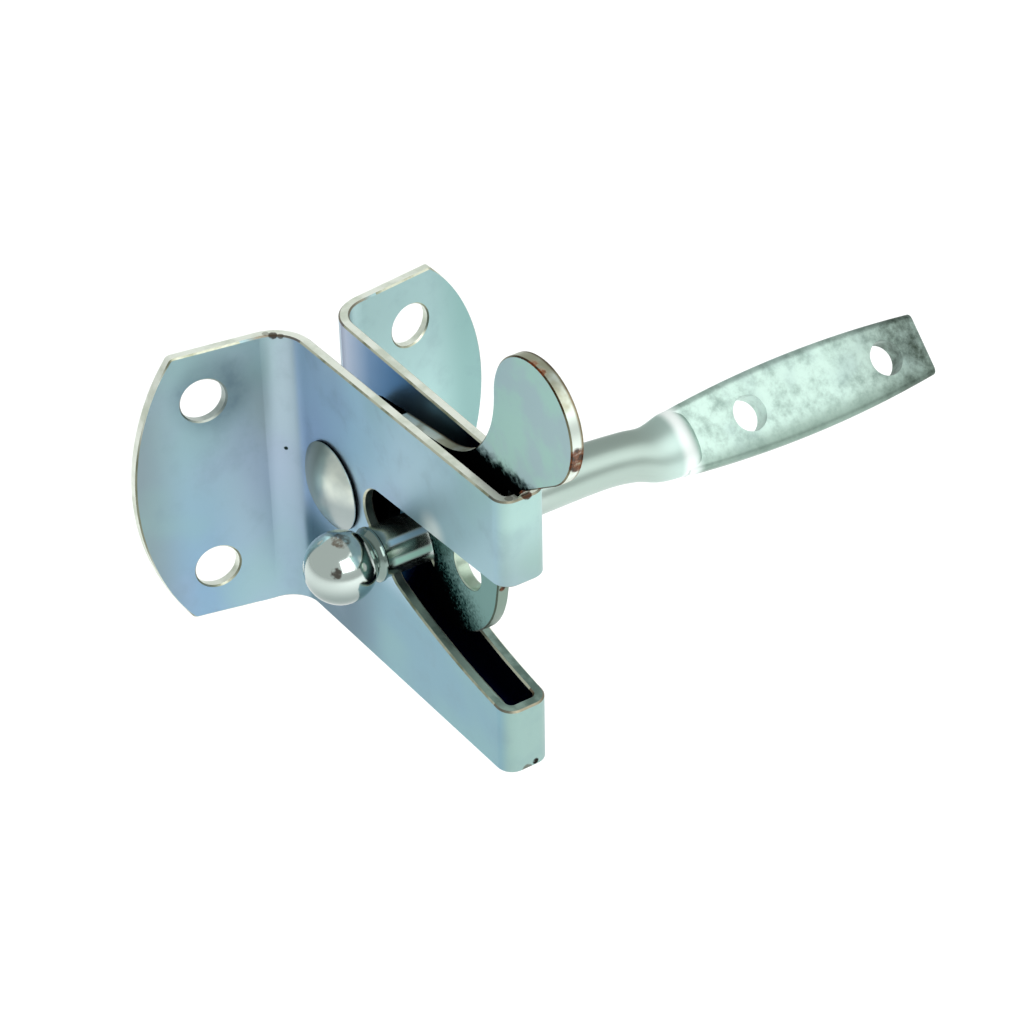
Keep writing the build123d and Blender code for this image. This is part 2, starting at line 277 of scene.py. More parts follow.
last_run, last_shift, last_width, last_height = shoulder_stations[0]
for run, shift, width, height in shoulder_rings:
    next_rim(
        ((shift - last_shift) * MM, (run - last_run) * MM, 0),
        (width / last_width, 1, height / last_height), (shift * MM, 0, 0),
    )
    last_run, last_shift, last_width, last_height = run, shift, width, height
bpy.ops.mesh.edge_face_add()
finish_mesh(smooth_below=40)
print("shoulder rings", len(shoulder_rings))

# %% [markdown]
# ## The leaf
# The flat end is 4 mm thick and swells like a willow leaf. Its long edges rolled over under the hammer,
# while the end was simply cropped. A cross-section inside the shoulder is the start: its corners are
# rounded by a bevel, and the face is then extruded in steps along the leaf, opened and closed as the
# outline goes.

# %% Leaf
LEAF_THICKNESS = 4.0
LEAF_END = 112.6
LEAF_STEPS = 16
ROLLED_EDGE = 1.2
leaf_halves = [(LEAF_START, 6.2), (84.0, 7.9), (LEAF_END, 6.3)]


def leaf_half(y):
    """Half the leaf's width at a distance along the bar, on a parabola through its three measures."""
    total = 0
    for at, half in leaf_halves:
        others = [other for other, _ in leaf_halves if other != at]
        total += half * math.prod((y - other) / (at - other) for other in others)
    return total


bpy.ops.object.select_all(action="DESELECT")
bpy.ops.mesh.primitive_plane_add(
    size=1, location=(LEAF_SHIFT * MM, LEAF_START * MM, 0), rotation=(math.radians(90), 0, 0)
)
bpy.context.object.scale = (2 * leaf_half(LEAF_START) * MM, LEAF_THICKNESS * MM, 1)
leaf = start_piece("leaf")
bpy.ops.mesh.select_all(action="SELECT")
bpy.ops.mesh.bevel(offset=ROLLED_EDGE * MM, segments=5, affect="VERTICES")
bpy.ops.mesh.select_mode(type="FACE")
bpy.ops.mesh.select_all(action="SELECT")
leaf_step = (LEAF_END - LEAF_START) / LEAF_STEPS
for step in range(LEAF_STEPS):
    y = LEAF_START + step * leaf_step
    bpy.ops.mesh.extrude_region_move(TRANSFORM_OT_translate={"value": (0, leaf_step * MM, 0)})
    bpy.ops.transform.resize(
        value=(leaf_half(y + leaf_step) / leaf_half(y), 1, 1), center_override=(LEAF_SHIFT * MM, 0, 0)
    )
finish_mesh(smooth_below=40)
print("leaf", round(LEAF_END - LEAF_START, 1), "mm long")

# %% [markdown]
# ### Screw holes, then one forging
# A hole is bored by taking a cylinder away, and a narrow bevel then breaks every sharp edge. A union melts
# the leaf into the shoulder, since both are one piece of steel. Only now is the striker turned, as it
# lies in the photographed latch with its leaf at 45 degrees, and moved into the throat.

# %% Screw holes, then one forging
HOLES_Y = (71.0, 103.5)
HOLE_RADIUS = 3.5
DRILL_LENGTH = 12.0
LEAF_TURN = math.radians(45)

for hole_y in HOLES_Y:
    bpy.ops.object.select_all(action="DESELECT")
    bpy.ops.mesh.primitive_cylinder_add(
        vertices=48, radius=HOLE_RADIUS * MM, depth=DRILL_LENGTH * MM,
        location=(LEAF_SHIFT * MM, hole_y * MM, 0),
    )
    drill = bpy.context.object
    use_modifier(leaf, "BOOLEAN", operation="DIFFERENCE", object=drill, solver="EXACT")
    bpy.data.objects.remove(drill)
use_modifier(leaf, "BEVEL", width=0.25 * MM, segments=2, limit_method="ANGLE", angle_limit=math.radians(50))
use_modifier(striker, "BOOLEAN", operation="UNION", object=leaf, solver="EXACT")
bpy.data.objects.remove(leaf)

bpy.ops.object.select_all(action="DESELECT")
striker.select_set(True)
bpy.context.view_layer.objects.active = striker
striker.rotation_euler = (0, LEAF_TURN, 0)
striker.location = BAR
bpy.ops.object.transform_apply(location=True, rotation=True, scale=True)
bpy.ops.object.mode_set(mode="EDIT")
finish_mesh(smooth_below=35)
use_modifier(striker, "WEIGHTED_NORMAL", keep_sharp=True)
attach(striker, "latch")
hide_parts("striker_bar")
print("striker faces", len(striker.data.polygons))

# %% [markdown]
# ## Bright zinc on the folded sheet
# The body is cold-rolled steel sheet, blanked, folded and electroplated with bright zinc, then dipped in
# a clear blue passivation. The film of the dip is thinner than a hair, and its tint drifts with its
# thickness: grey-green near the top of the flange, blue lower down, violet in patches. Where two plates
# face each other, the channel is painted nearly black as painted shade.
# A single flat metal would miss all of this, so each of these facts becomes one mask on the colour.
# In what follows, a Mix node of colours takes its share at input 0 and its two colours at inputs 6 and
# 7, and gives the mixed one at output 2. A Mix node of numbers takes the two at inputs 2 and 3.

# %% Body: tints of the film, and a painted highlight on the bend
body_zinc, tree, shader, place = start_material("bright_zinc_on_folded_sheet", 1.0, 0.4)
here = place.outputs["Object"]
at_x, at_y, at_z = [
    add_node(tree, "ShaderNodeSeparateXYZ", None, {0: here}, axis) for axis in range(3)
]
side_y = add_node(tree, "ShaderNodeMath", {"operation": "ABSOLUTE"}, {0: at_y})

SOFT = {"interpolation_type": "SMOOTHSTEP"}
COLOUR = {"data_type": "RGBA"}
low_down = add_node(
    tree, "ShaderNodeMapRange", SOFT, {"Value": at_z, "From Min": 24 * MM, "From Max": -24 * MM}
)
flange_tint = add_node(tree, "ShaderNodeMix", COLOUR, {0: low_down, 6: "#9BB9BD", 7: "#87A7C0"}, 2)
outermost = add_node(
    tree, "ShaderNodeMapRange", SOFT, {"Value": side_y, "From Min": 25 * MM, "From Max": 35 * MM}
)
flange_tint = add_node(tree, "ShaderNodeMix", COLOUR, {0: outermost, 6: flange_tint, 7: "#86989F"}, 2)
# Painted highlight: the flange is painted lighter towards the bend
bend_highlight_on_flange = add_node(
    tree, "ShaderNodeMapRange", SOFT,
    {"Value": side_y, "From Min": 23 * MM, "From Max": 13 * MM, "To Max": 0.75},
)
flange_tint = add_node(tree, "ShaderNodeMix", COLOUR, {0: bend_highlight_on_flange, 6: flange_tint, 7: "#A5C0CA"}, 2)
forward = add_node(
    tree, "ShaderNodeMapRange", None, {"Value": at_x, "From Min": 10 * MM, "From Max": 62 * MM}
)
upper_tint = add_node(
    tree, "ShaderNodeValToRGB", None, {0: forward},
    stops=((0.06, "#B2C8E0"), (0.3, "#B9D6E6"), (0.6, "#B7D2DE"), (0.95, "#9CBCC6")),
)
along_arm = add_node(
    tree, "ShaderNodeMapRange", SOFT, {"Value": at_x, "From Min": 20 * MM, "From Max": 36 * MM}
)
arm_tint = add_node(tree, "ShaderNodeMix", COLOUR, {0: along_arm, 6: "#66808F", 7: "#83A8B7"}, 2)
on_arm = add_node(
    tree, "ShaderNodeMapRange", SOFT, {"Value": at_z, "From Min": -4 * MM, "From Max": -12 * MM}
)
plate_tint = add_node(tree, "ShaderNodeMix", COLOUR, {0: on_arm, 6: upper_tint, 7: arm_tint}, 2)
# Painted highlight on the bend, lighter than the sheet on both sides, with painted shade lower down
bend_highlight = add_node(
    tree, "ShaderNodeMapRange", SOFT,
    {"Value": at_x, "From Min": 1.2 * MM, "From Max": 4.6 * MM, "To Max": 0.8},
)
past_bend = add_node(
    tree, "ShaderNodeMapRange", SOFT, {"Value": at_x, "From Min": 6.8 * MM, "From Max": 8.2 * MM}
)
bend_highlight_tint = add_node(tree, "ShaderNodeMix", COLOUR, {0: low_down, 6: "#AFC1CC", 7: "#94ABBF"}, 2)
base = add_node(tree, "ShaderNodeMix", COLOUR, {0: bend_highlight, 6: flange_tint, 7: bend_highlight_tint}, 2)
base = add_node(tree, "ShaderNodeMix", COLOUR, {0: past_bend, 6: base, 7: plate_tint}, 2)
at_nose = add_node(
    tree, "ShaderNodeMapRange", SOFT, {"Value": at_x, "From Min": 68.3 * MM, "From Max": 70.4 * MM}
)
nose_low = add_node(
    tree, "ShaderNodeMapRange", SOFT, {"Value": at_z, "From Min": 24 * MM, "From Max": 12 * MM}
)
nose_tint = add_node(tree, "ShaderNodeMix", COLOUR, {0: nose_low, 6: "#ADCDC8", 7: "#98B5B0"}, 2)
base = add_node(tree, "ShaderNodeMix", COLOUR, {0: at_nose, 6: base, 7: nose_tint}, 2)
print("film tints: flange, bend, plate, arm and nose")

# %% [markdown]
# ### Patches and clouds
# Seen close, no tint is even. A wide noise lays patches of violet and green over the film, a few
# centimetres across, and a finer one lays grey clouds. The far side of the body has a greener film.

# %% Body: violet and green patches
wide = add_node(
    tree, "ShaderNodeTexNoise", None,
    {"Vector": here, "Scale": 1 / (24 * MM), "Detail": 2.0, "Roughness": 0.5},
)
violet = add_node(
    tree, "ShaderNodeMapRange", SOFT, {"Value": wide, "From Min": 0.5, "From Max": 0.72, "To Max": 0.28}
)
base = add_node(tree, "ShaderNodeMix", COLOUR, {0: violet, 6: base, 7: "#A3A9CC"}, 2)
green = add_node(
    tree, "ShaderNodeMapRange", SOFT, {"Value": wide, "From Min": 0.48, "From Max": 0.3, "To Max": 0.35}
)
base = add_node(tree, "ShaderNodeMix", COLOUR, {0: green, 6: base, 7: "#8FB8B0"}, 2)
far_side = add_node(
    tree, "ShaderNodeMapRange", SOFT, {"Value": at_y, "From Min": 4.8 * MM, "From Max": 9 * MM}
)
far_tint = add_node(tree, "ShaderNodeMix", COLOUR, {0: low_down, 6: "#A6C4C5", 7: "#B6DBD7"}, 2)
far_tint = add_node(tree, "ShaderNodeMix", COLOUR, {0: outermost, 6: far_tint, 7: "#8FB4B2"}, 2)
base = add_node(tree, "ShaderNodeMix", COLOUR, {0: far_side, 6: base, 7: far_tint}, 2)
cloud = add_node(
    tree, "ShaderNodeTexNoise", None,
    {"Vector": here, "Scale": 1 / (6 * MM), "Detail": 4.0, "Roughness": 0.6},
)
cloudy = add_node(
    tree, "ShaderNodeMapRange", SOFT, {"Value": cloud, "From Min": 0.48, "From Max": 0.75, "To Max": 0.2}
)
base = add_node(tree, "ShaderNodeMix", COLOUR, {0: cloudy, 6: base, 7: "#7A929C"}, 2)
print("patches of violet and green, the far side's film and grey clouds")

# %% [markdown]
# ### Painted shade inside the channel
# The inner faces lie under 3.8 mm from the middle of the channel, and closer towards the nose, where the
# plates draw together. A mask finds them by their place, and paints the shade of the channel on them.
# Near the post they are painted violet and blue, and five centimetres on they are painted a blue black as
# shade, sooner low down. A metal still mirrors at a grazing look however dark its colour is, so the same
# mask takes the shader's edge tint down as well, which paints the shade into the reflections too.

# %% Body: painted shade in the channel
INNER_FACE = 3.78 * MM
PLATE_TAPER = 0.01407
NOSE_INNER_FACE = 68.95 * MM
inner_limit = add_node(
    tree, "ShaderNodeMath", {"operation": "MULTIPLY_ADD"}, {0: at_x, 1: -PLATE_TAPER, 2: INNER_FACE}
)
within = add_node(tree, "ShaderNodeMath", {"operation": "LESS_THAN"}, {0: side_y, 1: inner_limit})
behind_nose = add_node(tree, "ShaderNodeMath", {"operation": "LESS_THAN"}, {0: at_x, 1: NOSE_INNER_FACE})
inside = add_node(tree, "ShaderNodeMath", {"operation": "MULTIPLY"}, {0: within, 1: behind_nose})
sunk = add_node(tree, "ShaderNodeMath", {"operation": "SUBTRACT"}, {0: 20 * MM, 1: at_z})
sunk = add_node(tree, "ShaderNodeMath", {"operation": "MAXIMUM"}, {0: sunk, 1: 0.0})
shade_distance = add_node(tree, "ShaderNodeMath", {"operation": "MULTIPLY_ADD"}, {0: sunk, 1: 0.6, 2: at_x})
depth = add_node(
    tree, "ShaderNodeMapRange", None, {"Value": shade_distance, "From Min": 4 * MM, "From Max": 50 * MM}
)
# Painted shade: the ramp runs from pale near the post and the top to a blue black deep in the channel
channel_painted_shade_stops = (
    (0.0, "#EAEFFA"), (0.12, "#D5E0F2"), (0.3, "#ABC8E4"), (0.5, "#B4DAF6"),
    (0.72, "#AED2E2"), (0.84, "#82A4B4"), (1.0, "#1C2C48"),
)
shade = add_node(tree, "ShaderNodeValToRGB", None, {0: depth}, stops=channel_painted_shade_stops)
base = add_node(tree, "ShaderNodeMix", COLOUR, {0: inside, 6: base, 7: shade}, 2)
print("channel sinks to black in", len(channel_painted_shade_stops), "stops")

# %% [markdown]
# ### Cut edges
# Where the sheet was blanked, the steel tore for part of its thickness, and zinc looks creamier on it.
# The normal tells a cut from a face. A plate's face looks sideways, a flange's looks forward or back, and
# at the bend and the nose a face looks level. Whatever turns away from that is a cut, and the
# narrow slope between the two is the broken edge. It is cream where it is rubbed, and olive in patches,
# partly dirt and partly a painted dark reflection. A darker line along the flange's upright edges is a
# painted dark reflection, and round the nose and the bend the edge is brown. Low down, out of the light,
# the cut is a darker green-grey, and deep in the throat it is painted black as shade.

# %% Body: cut edges and broken edges
BEND_END = 9 * MM
NOSE_START = 67 * MM
FLANGE_START = 14 * MM
MOUTH_TOP = 12 * MM
steepness = []
for axis in range(3):
    along = add_node(tree, "ShaderNodeSeparateXYZ", None, {0: place.outputs["Normal"]}, axis)
    steepness.append(add_node(tree, "ShaderNodeMath", {"operation": "ABSOLUTE"}, {0: along}))
steep_x, steep_y, steep_z = steepness
off_level = add_node(tree, "ShaderNodeMath", {"operation": "SUBTRACT"}, {0: 1.0, 1: steep_z})
lifted = add_node(
    tree, "ShaderNodeMath", {"operation": "MULTIPLY", "use_clamp": True}, {0: off_level, 1: 3.4}
)
from_bend = add_node(tree, "ShaderNodeMath", {"operation": "GREATER_THAN"}, {0: at_x, 1: BEND_END})
to_nose = add_node(tree, "ShaderNodeMath", {"operation": "LESS_THAN"}, {0: at_x, 1: NOSE_START})
on_plate = add_node(tree, "ShaderNodeMath", {"operation": "MULTIPLY"}, {0: from_bend, 1: to_nose})
on_flange = add_node(tree, "ShaderNodeMath", {"operation": "GREATER_THAN"}, {0: side_y, 1: FLANGE_START})
level = add_node(tree, "ShaderNodeMix", None, {0: on_plate, 2: lifted, 3: steep_y})
level = add_node(tree, "ShaderNodeMix", None, {0: on_flange, 2: level, 3: steep_x})
cut = add_node(tree, "ShaderNodeMapRange", None, {"Value": level, "From Min": 0.55, "From Max": 0.35})
broken = add_node(tree, "ShaderNodeMapRange", None, {"Value": level, "From Min": 0.93, "From Max": 0.85})
grain = add_node(
    tree, "ShaderNodeTexNoise", None,
    {"Vector": here, "Scale": 1 / (1.6 * MM), "Detail": 4.0, "Roughness": 0.65},
)
dirt = add_node(tree, "ShaderNodeMapRange", SOFT, {"Value": cloud, "From Min": 0.56, "From Max": 0.3})
# Olive on the broken edges: partly dirt, partly a painted dark reflection
edge_tint = add_node(tree, "ShaderNodeMix", COLOUR, {0: dirt, 6: "#D8DBC6", 7: "#94997F"}, 2)
# Painted dark reflection: a darker line along the flange's upright broken edges
upright = add_node(
    tree, "ShaderNodeMapRange", None, {"Value": steep_z, "From Min": 0.6, "From Max": 0.3, "To Max": 0.8}
)
dark_reflected_outline = add_node(tree, "ShaderNodeMath", {"operation": "MULTIPLY"}, {0: upright, 1: on_flange})
edge_tint = add_node(tree, "ShaderNodeMix", COLOUR, {0: dark_reflected_outline, 6: edge_tint, 7: "#5E6350"}, 2)
base = add_node(tree, "ShaderNodeMix", COLOUR, {0: broken, 6: base, 7: edge_tint}, 2)
sloping = add_node(
    tree, "ShaderNodeMapRange", None, {"Value": steep_z, "From Min": 0.35, "From Max": 0.55, "To Max": 0.8}
)
straight = add_node(tree, "ShaderNodeMath", {"operation": "MAXIMUM"}, {0: on_plate, 1: on_flange})
corner = add_node(
    tree, "ShaderNodeMath", {"operation": "SUBTRACT", "use_clamp": True}, {0: sloping, 1: straight}
)
near_bend = add_node(
    tree, "ShaderNodeMapRange", SOFT, {"Value": side_y, "From Min": 13.5 * MM, "From Max": 10.5 * MM}
)
corner = add_node(tree, "ShaderNodeMath", {"operation": "MULTIPLY"}, {0: corner, 1: near_bend})
corner_tint = add_node(tree, "ShaderNodeMix", COLOUR, {0: dirt, 6: "#94846A", 7: "#54442F"}, 2)
base = add_node(tree, "ShaderNodeMix", COLOUR, {0: corner, 6: base, 7: corner_tint}, 2)
torn = add_node(tree, "ShaderNodeMapRange", SOFT, {"Value": cloud, "From Min": 0.4, "From Max": 0.65})
cut_high = add_node(tree, "ShaderNodeMix", COLOUR, {0: torn, 6: "#F2F7EC", 7: "#D5DDCD"}, 2)
cut_low = add_node(tree, "ShaderNodeMix", COLOUR, {0: torn, 6: "#8FA79D", 7: "#5E746C"}, 2)
below_top = add_node(tree, "ShaderNodeMath", {"operation": "LESS_THAN"}, {0: at_z, 1: MOUTH_TOP})
in_mouth = add_node(tree, "ShaderNodeMath", {"operation": "MULTIPLY"}, {0: below_top, 1: from_bend})
cut_tint = add_node(tree, "ShaderNodeMix", COLOUR, {0: in_mouth, 6: cut_high, 7: cut_low}, 2)
# Painted shade: deep in the throat the cut is painted black
in_throat = add_node(
    tree, "ShaderNodeMapRange", SOFT,
    {"Value": at_x, "From Min": 44 * MM, "From Max": 36 * MM, "To Max": 0.8},
)
throat_shade = add_node(tree, "ShaderNodeMath", {"operation": "MULTIPLY"}, {0: in_mouth, 1: in_throat})
cut_tint = add_node(tree, "ShaderNodeMix", COLOUR, {0: throat_shade, 6: cut_tint, 7: "#20292A"}, 2)
base = add_node(tree, "ShaderNodeMix", COLOUR, {0: cut, 6: base, 7: cut_tint}, 2)
print("cut edges found by their normals")

# %% [markdown]
# ### Wear on the body, and a painted sheen
# A grey smudge rings the upper hole of the near flange, where a screw head turned. Above the mouth a
# nearly white patch on the plate is a painted highlight. Rust has started on the nose, where the pawl
# strikes it, and at its foot. Brown dirt sits on top of the bend, and a pit shows below it. Each place is a
# soft ball of distance, and all but the highlight are broken up by a noise, so that no spot is a perfect
# circle.

# %% Body: smudge, painted sheen, rust and pits


def soft_ball(tree, here, centre, outer, inner, strength=1.0):
    """A mask round a place in mm: full inside the inner radius, and nothing outside the outer one."""
    away = add_node(
        tree, "ShaderNodeVectorMath", {"operation": "DISTANCE"}, {0: here, 1: [c * MM for c in centre]}, 1
    )
    return add_node(
        tree, "ShaderNodeMapRange", SOFT,
        {"Value": away, "From Min": outer * MM, "From Max": inner * MM, "To Max": strength},
    )


NEAR_UPPER_HOLE = (1.8, -19.8, 18.8)
ABOVE_BAR = (49.8, -4.9, 10.9)
smudge = soft_ball(tree, here, NEAR_UPPER_HOLE, 9.5, 4.5)
smudged = add_node(tree, "ShaderNodeMath", {"operation": "MULTIPLY"}, {0: smudge, 1: cloud})
base = add_node(tree, "ShaderNodeMix", COLOUR, {0: smudged, 6: base, 7: "#687F8C"}, 2)

# Painted highlight: a nearly white sheen on the plate above the mouth
painted_sheen = soft_ball(tree, here, ABOVE_BAR, 4.8, 0.8, strength=0.8)
base = add_node(tree, "ShaderNodeMix", COLOUR, {0: painted_sheen, 6: base, 7: "#FAFFFF"}, 2)

body_marks = [
    ((70.3, 0.5, 28.1), 1.2, 0.9, "#4A220C"), ((69.6, -2.4, 28.0), 0.9, 0.7, "#35342C"),
    ((70.8, 1.2, -27.9), 0.8, 1.0, "#1E1610"), ((70.6, -0.5, -28.9), 1.4, 0.6, "#5A3C20"),
    ((5.1, -7.5, 4.2), 0.5, 1.0, "#1E2E2C"), ((3.3, -9.0, 28.1), 0.8, 0.5, "#4A4032"),
    ((4.4, -8.2, 28.0), 1.1, 0.9, "#33291E"), ((5.5, -7.3, 28.0), 0.9, 0.75, "#3E3426"),
]
soiled = None
for centre, radius, strength, colour in body_marks:
    near = soft_ball(tree, here, centre, 1.15 * radius, 0.5 * radius)
    ragged = add_node(
        tree, "ShaderNodeMath", {"operation": "MULTIPLY", "use_clamp": True}, {0: near, 1: grain}
    )
    mark = add_node(
        tree, "ShaderNodeMapRange", SOFT,
        {"Value": ragged, "From Min": 0.2, "From Max": 0.45, "To Max": strength},
    )
    base = add_node(tree, "ShaderNodeMix", COLOUR, {0: mark, 6: base, 7: colour}, 2)
    soiled = mark if soiled is None else add_node(
        tree, "ShaderNodeMath", {"operation": "MAXIMUM"}, {0: soiled, 1: mark}
    )
tree.links.new(base, shader.inputs["Base Color"])
# Painted shade in the reflections: inside the channel the edge tint drops to a blue black, and on rust and
# dirt it goes brown
edge_mirror = add_node(tree, "ShaderNodeMix", COLOUR, {0: inside, 6: "#FFFFFF", 7: "#182030"}, 2)
edge_mirror = add_node(tree, "ShaderNodeMix", COLOUR, {0: soiled, 6: edge_mirror, 7: "#201008"}, 2)
tree.links.new(edge_mirror, shader.inputs["Specular Tint"])

# Rust and dirt aren't metal, so they scatter light where the zinc mirrors it, and a torn cut does half so
scattering = add_node(tree, "ShaderNodeMath", {"operation": "MULTIPLY"}, {0: cut, 1: 0.4})
scattering = add_node(tree, "ShaderNodeMath", {"operation": "MAXIMUM"}, {0: scattering, 1: soiled})
bare = add_node(tree, "ShaderNodeMapRange", None, {"Value": scattering, "To Min": 1.0, "To Max": 0.1})
tree.links.new(bare, shader.inputs["Metallic"])
rough = add_node(tree, "ShaderNodeMapRange", None, {"Value": soiled, "To Min": 0.4, "To Max": 0.8})
tree.links.new(rough, shader.inputs["Roughness"])

# Rolled sheet keeps a faint orange peel under the zinc, drawn about twice as coarse as it is
peel = add_node(
    tree, "ShaderNodeTexNoise", None, {"Vector": here, "Scale": 1 / (1.1 * MM), "Detail": 2.0}
)
bump = add_node(tree, "ShaderNodeBump", None, {"Height": peel, "Strength": 0.08, "Distance": 0.15 * MM})
tree.links.new(bump, shader.inputs["Normal"])
print("body marks", len(body_marks))

# %% [markdown]
# ## The pawl
# The pawl is thicker plate with the same zinc, slightly greener. Its rim was left as blanked, and it is
# the first place to rust, because a thumb rubs it each time the gate is opened. What lies inside the
# channel is painted near black as shade, and so is the lobe's rear in the mouth.

# %% Pawl material
pawl_zinc, tree, shader, place = start_material("bright_zinc_on_blanked_plate", 1.0, 0.36)
here = place.outputs["Object"]
at_x, at_y, at_z = [
    add_node(tree, "ShaderNodeSeparateXYZ", None, {0: here}, axis) for axis in range(3)
]
cloud = add_node(
    tree, "ShaderNodeTexNoise", None,
    {"Vector": here, "Scale": 1 / (9 * MM), "Detail": 4.0, "Roughness": 0.55},
)
grain = add_node(
    tree, "ShaderNodeTexNoise", None,
    {"Vector": here, "Scale": 1 / (1.5 * MM), "Detail": 4.0, "Roughness": 0.7},
)
two_tone = add_node(tree, "ShaderNodeMapRange", SOFT, {"Value": cloud, "From Min": 0.4, "From Max": 0.62})
tab_tint = add_node(tree, "ShaderNodeMix", COLOUR, {0: two_tone, 6: "#9FC4BC", 7: "#9FB9BD"}, 2)
on_lobe = add_node(
    tree, "ShaderNodeMapRange", SOFT, {"Value": at_z, "From Min": 16 * MM, "From Max": 8 * MM}
)
base = add_node(tree, "ShaderNodeMix", COLOUR, {0: on_lobe, 6: tab_tint, 7: "#688F8B"}, 2)

print("pawl tints: tab and lobe")

# %% [markdown]
# ### The pawl's rim
# The pawl's faces look sideways, so the normal finds its rim as well. On the tab the rim is cream, partly
# where a thumb rubs it and partly a painted highlight along the rim, with a brown line along each broken
# edge and a wider one on the far side, where the press left a burr that holds dirt. On the lobe the rim
# is a dull green, and the wall of the release hole is paler than both.

# %% Pawl: rim
RELEASE_HOLE = (54.7, 0, 4.7)
RELEASE_HOLE_WALL = 4.36 * MM
normal_y = add_node(tree, "ShaderNodeSeparateXYZ", None, {0: place.outputs["Normal"]}, 1)
steep_y = add_node(tree, "ShaderNodeMath", {"operation": "ABSOLUTE"}, {0: normal_y})
rim = add_node(tree, "ShaderNodeMapRange", None, {"Value": steep_y, "From Min": 0.55, "From Max": 0.4})
broken = add_node(tree, "ShaderNodeMapRange", None, {"Value": steep_y, "From Min": 0.95, "From Max": 0.85})
rubbed = add_node(tree, "ShaderNodeMapRange", SOFT, {"Value": cloud, "From Min": 0.42, "From Max": 0.6})
tab_line = add_node(tree, "ShaderNodeMix", COLOUR, {0: rubbed, 6: "#46341F", 7: "#7F7E66"}, 2)
edge_line = add_node(tree, "ShaderNodeMix", COLOUR, {0: on_lobe, 6: tab_line, 7: "#4A564C"}, 2)
base = add_node(tree, "ShaderNodeMix", COLOUR, {0: broken, 6: base, 7: edge_line}, 2)
# Cream on the tab's rim: partly rubbed, partly a painted highlight
tab_rim_and_sheen = add_node(tree, "ShaderNodeMix", COLOUR, {0: rubbed, 6: "#B1B29A", 7: "#E2EDE4"}, 2)
rim_tint = add_node(tree, "ShaderNodeMix", COLOUR, {0: on_lobe, 6: tab_rim_and_sheen, 7: "#7E9186"}, 2)
base = add_node(tree, "ShaderNodeMix", COLOUR, {0: rim, 6: base, 7: rim_tint}, 2)
burr = add_node(
    tree, "ShaderNodeMapRange", None, {"Value": at_y, "From Min": 0.5 * MM, "From Max": 0.9 * MM}
)
burr = add_node(tree, "ShaderNodeMath", {"operation": "MULTIPLY"}, {0: burr, 1: rim})
burr_tint = add_node(tree, "ShaderNodeMix", COLOUR, {0: rubbed, 6: "#5A4630", 7: "#8A7C5C"}, 2)
burr_tint = add_node(tree, "ShaderNodeMix", COLOUR, {0: on_lobe, 6: burr_tint, 7: rim_tint}, 2)
base = add_node(tree, "ShaderNodeMix", COLOUR, {0: burr, 6: base, 7: burr_tint}, 2)
from_hole = add_node(
    tree, "ShaderNodeVectorMath", {"operation": "DISTANCE"}, {0: here, 1: [c * MM for c in RELEASE_HOLE]}, 1
)
hole_wall = add_node(
    tree, "ShaderNodeMath", {"operation": "LESS_THAN"}, {0: from_hole, 1: RELEASE_HOLE_WALL}
)
base = add_node(tree, "ShaderNodeMix", COLOUR, {0: hole_wall, 6: base, 7: "#C9DCC9"}, 2)
print("rim, broken edges, burr and hole wall")

# %% [markdown]
# ### Painted shade on the pawl
# Painted shade covers the pawl inside the channel, up to a height, and in the mouth it covers the lobe's
# rear, behind a slanting line. Both borders are shifted by a noise before they are compared, which makes
# them wavy. The top rim and the wall of the hole stay lit, so they are taken out of the mask again.

# %% Pawl: painted shade
up_and_forward = add_node(tree, "ShaderNodeMath", {"operation": "ADD"}, {0: at_x, 1: at_z})
speckle = add_node(
    tree, "ShaderNodeTexNoise", None, {"Vector": here, "Scale": 1 / (0.45 * MM), "Detail": 2.0}
)
wavy = add_node(
    tree, "ShaderNodeMath", {"operation": "MULTIPLY_ADD"}, {0: speckle, 1: 16 * MM, 2: up_and_forward}
)
behind = add_node(
    tree, "ShaderNodeMapRange", SOFT, {"Value": wavy, "From Min": 66 * MM, "From Max": 51 * MM}
)
ragged_z = add_node(tree, "ShaderNodeMath", {"operation": "MULTIPLY_ADD"}, {0: grain, 1: -5 * MM, 2: at_z})
in_channel = add_node(
    tree, "ShaderNodeMapRange", SOFT, {"Value": ragged_z, "From Min": 31 * MM, "From Max": 28 * MM}
)
above_mouth = add_node(
    tree, "ShaderNodeMapRange", SOFT, {"Value": at_z, "From Min": 9 * MM, "From Max": 14 * MM}
)
shade_in_channel = add_node(tree, "ShaderNodeMath", {"operation": "MULTIPLY"}, {0: in_channel, 1: above_mouth})
below = add_node(tree, "ShaderNodeMath", {"operation": "SUBTRACT"}, {0: 1.0, 1: above_mouth})
shade_on_lobe_rear = add_node(tree, "ShaderNodeMath", {"operation": "MULTIPLY"}, {0: behind, 1: below})
painted_shade = add_node(tree, "ShaderNodeMath", {"operation": "MAXIMUM"}, {0: shade_in_channel, 1: shade_on_lobe_rear})
top_rim = add_node(tree, "ShaderNodeMath", {"operation": "GREATER_THAN"}, {0: at_z, 1: 24 * MM})
spared = add_node(tree, "ShaderNodeMath", {"operation": "MULTIPLY"}, {0: top_rim, 1: rim})
spared = add_node(tree, "ShaderNodeMath", {"operation": "MAXIMUM"}, {0: spared, 1: hole_wall})
shade_kept = add_node(
    tree, "ShaderNodeMath", {"operation": "SUBTRACT", "use_clamp": True}, {0: painted_shade, 1: spared}
)
# Painted shade: the pawl goes near black in the channel and on the lobe's rear, and its edge tint goes dark
# with it
base = add_node(tree, "ShaderNodeMix", COLOUR, {0: shade_kept, 6: base, 7: "#0D1113"}, 2)
edge_mirror = add_node(tree, "ShaderNodeMix", COLOUR, {0: shade_kept, 6: "#FFFFFF", 7: "#101010"}, 2)
print("grease in the channel and on the lobe's rear")

